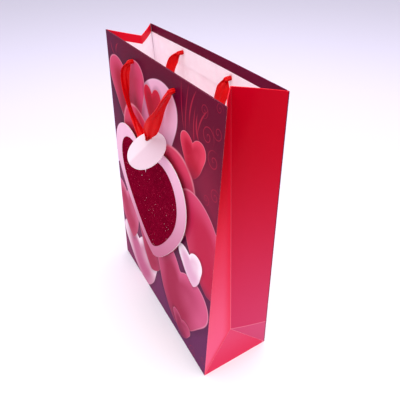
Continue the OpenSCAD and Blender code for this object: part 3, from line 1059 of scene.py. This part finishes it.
def make_gusset(name, across, along):
    rim = (CARD + HEM_CARD + GLUE) / 2
    ss = [0, 2 * MM, 5 * MM] + steps(10 * MM, HALF_D - 2 * MM, 10) + [HALF_D]
    ss += steps(HALF_D + 2 * MM, HEIGHT - rim, 60)
    us = [0, 0.004, 0.012, 0.03] + steps(0.08, 0.92, 16) + [0.97, 0.988, 0.996, 1]
    outer, inner = [], []
    values = {"up": [], "edge": [], "middle": [], "back": []}
    for s in ss:
        width = (mid_crease(s) - side_edge(s)).length
        outer.append([gusset(across, along, s, u) for u in us])
        inner.append([gusset(across, along, s, u, CARD) for u in us])
        values["up"].append([s] * len(us))
        values["edge"].append([u * width for u in us])
        values["middle"].append([(1 - u) * width for u in us])
        values["back"].append([float(along == BACK)] * len(us))
    half = shell("side_fold_" + name, outer, inner, [GUSSET, WHITE_CARD, CORE], values)
    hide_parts("gusset_" + name)
    blend_gusset(half)


def make_gusset_hem(name, across, along):
    us = [0, 0.01, 0.04] + steps(0.1, 0.9, 10) + [0.96, 0.99, 1]
    hem = fold_rim("side_hem_" + name, us, lambda u: CARD + HEM_CARD + GLUE,
                   lambda u, depth, below: gusset(across, along, HEIGHT - below, u, depth),
                   lambda u: u * HALF_D, HEM_RED)
    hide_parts("gusset_hem_" + name)
    blend_gusset(hem)


def make_triangle(name, across):
    """The folded corner of the base, from the bottom edge up to where the creases meet."""
    rise = 0.25 * MM
    inward = CARD * Vector((-LOW_Z, 0, -LOW_IN)).normalized()
    outer, inner, values = [], [], {"up": [], "edge": []}
    for k in steps(0, 0.995, 24):
        half = HALF_D * (1 - k)
        x, z = HALF_W - LOW_IN * k, rise + (LOW_Z - rise) * k
        ys = steps(-half, half, 16)
        outer.append([Vector((across * x, y, z)) for y in ys])
        inner.append([Vector((across * (x + inward.x), y, max(z + inward.z, 0.1 * MM))) for y in ys])
        values["up"].append([k * HALF_D] * len(ys))
        values["edge"].append([min(half - abs(y), k * HALF_D + 0.3 * MM) for y in ys])
    piece = shell("base_corner_" + name, outer, inner, [TRIANGLE, WHITE_CARD, CORE], values)
    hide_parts("base_triangle_" + name)
    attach(piece, "triangle_" + name)


for half_name, across, along in HALVES:
    make_gusset(half_name, across, along)
    make_gusset_hem(half_name, across, along)
make_triangle("right", RIGHT)
make_triangle("left", LEFT)

# -------- raised heart


def heart_outline(width, height, count=144):
    """Heart outline with a round tip and a slight turn, about the middle of its box, counter-clockwise."""
    out = []
    for a in steps(2 * math.pi, 0, count)[:-1]:
        power = 2.2 + 0.8 * math.cos(a)
        x = width * math.copysign(abs(math.sin(a)) ** power, math.sin(a)) / 2
        z = 13 * math.cos(a) - 5 * math.cos(2 * a) - 2 * math.cos(3 * a) - math.cos(4 * a) + 2.5
        p = Quaternion((0, 1, 0), -HEART_TURN) @ Vector((x, 0, height * z / 29))
        out.append((p.x, p.z))
    return out


def make_heart(name, node, size, front, rise, materials):
    """A flat heart, its face front off the panel's plane, its middle rise above the hearts' shared place."""
    width, height, thickness = size
    middle = (HEART_AT[0], HEART_AT[1] + rise)
    outline = [(x + middle[0], z + middle[1]) for x, z in heart_outline(width, height)]

    def place(x, z, depth):
        d = depth - front
        return Vector((x, d * COS + z * SIN - HALF_D, z * COS - d * SIN))

    piece = plate(name, outline, [middle] * len(outline), place, thickness, 0.25 * MM, materials)
    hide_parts(node)
    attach(piece, "front_wall")


PINK_FRONT = PAD + PINK_HEART[2]
GLITTER_FRONT = PINK_FRONT + GLITTER_HEART[2]
make_heart("pink_heart", "heart_card", PINK_HEART, PINK_FRONT, 0, [PINK_CARD, CORE, CORE])
make_heart("glitter_heart_top", "glitter_heart", GLITTER_HEART, GLITTER_FRONT, 2 * MM, [GLITTER, GLITTER, CORE])


def make_pads():
    """Square foam pads with soft edges and sides that belly out."""
    places = [(0, 0), (-70, 45), (70, 45), (-40, -25), (40, -25), (0, -65), (-35, 62), (35, 62)]
    sides, squareness = 32, 8
    bm = bmesh.new()
    for px, pz in places:
        x0, z0 = HEART_AT[0] + px * MM, HEART_AT[1] + pz * MM
        rings = []
        for f in steps(0, 1, 8):
            half = (6.6 + 0.5 * math.sin(math.pi * f)) * MM
            ring = []
            for a in steps(0, 2 * math.pi, sides)[:-1]:
                c, s = math.cos(a), math.sin(a)
                r = half / (abs(c) ** squareness + abs(s) ** squareness) ** (1 / squareness)
                ring.append(bm.verts.new(wall(FRONT, x0 + r * c, z0 + r * s, -PAD * f)))
            rings.append(ring)
        for a, b in zip(rings, rings[1:]):
            join(bm, a, b)
        bm.faces.new(rings[0][::-1])
        bm.faces.new(rings[-1])
    pads = place_mesh("foam_pads", bm, [FOAM])
    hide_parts("heart_foam_pads")
    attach(pads, "front_wall")


make_pads()

# -------- base flaps and board

for node_name in ("bottom_front_flap", "bottom_back_flap", "bottom_left_tuck", "bottom_right_tuck", "bottom_board"):
    flap = frame["nodes"][node_name]
    flap.data.materials.clear()
    flap.data.materials.append(GREYBOARD if node_name == "bottom_board" else WHITE_CARD)

# -------- floor and light


def floor_colour(n):
    """White, with a faint violet painted shade towards the far left."""
    x, y, _ = n.split(n.object_point())
    left = n.math("SUBTRACT", y, x)
    return n.mix(n.ramp(left, -0.3, 0.7), rgb(242, 240, 244), rgb(222, 216, 238))


def make_floor():
    bm = bmesh.new()
    bmesh.ops.create_grid(bm, x_segments=1, y_segments=1, size=12)
    mesh = bpy.data.meshes.new("floor")
    bm.to_mesh(mesh)
    bm.free()
    mesh.materials.append(material("floor", floor_colour, Roughness=0.7))
    floor = add_object("floor", mesh)


def area_light(name, place, target, size, power, colour):
    data = bpy.data.lights.new(name, "AREA")
    data.size = size
    data.energy = power
    data.color = colour
    add_object(name, data, place, target)


def make_light():
    middle = (0, 0, 0.22)
    area_light("key", (1.4, -0.9, 1.5), middle, 1.6, 5, (1, 0.98, 0.97))
    area_light("top", (0.1, 0.1, 2.0), middle, 2.4, 44, (1, 0.97, 0.99))
    world = bpy.data.worlds.new("studio")
    world.use_nodes = True
    back = world.node_tree.nodes["Background"]
    back.inputs["Color"].default_value = (0.985, 0.98, 1, 1)
    back.inputs["Strength"].default_value = 0.8
    bpy.context.scene.world = world


make_floor()
make_light()
bpy.context.scene.view_settings.view_transform = "Standard"
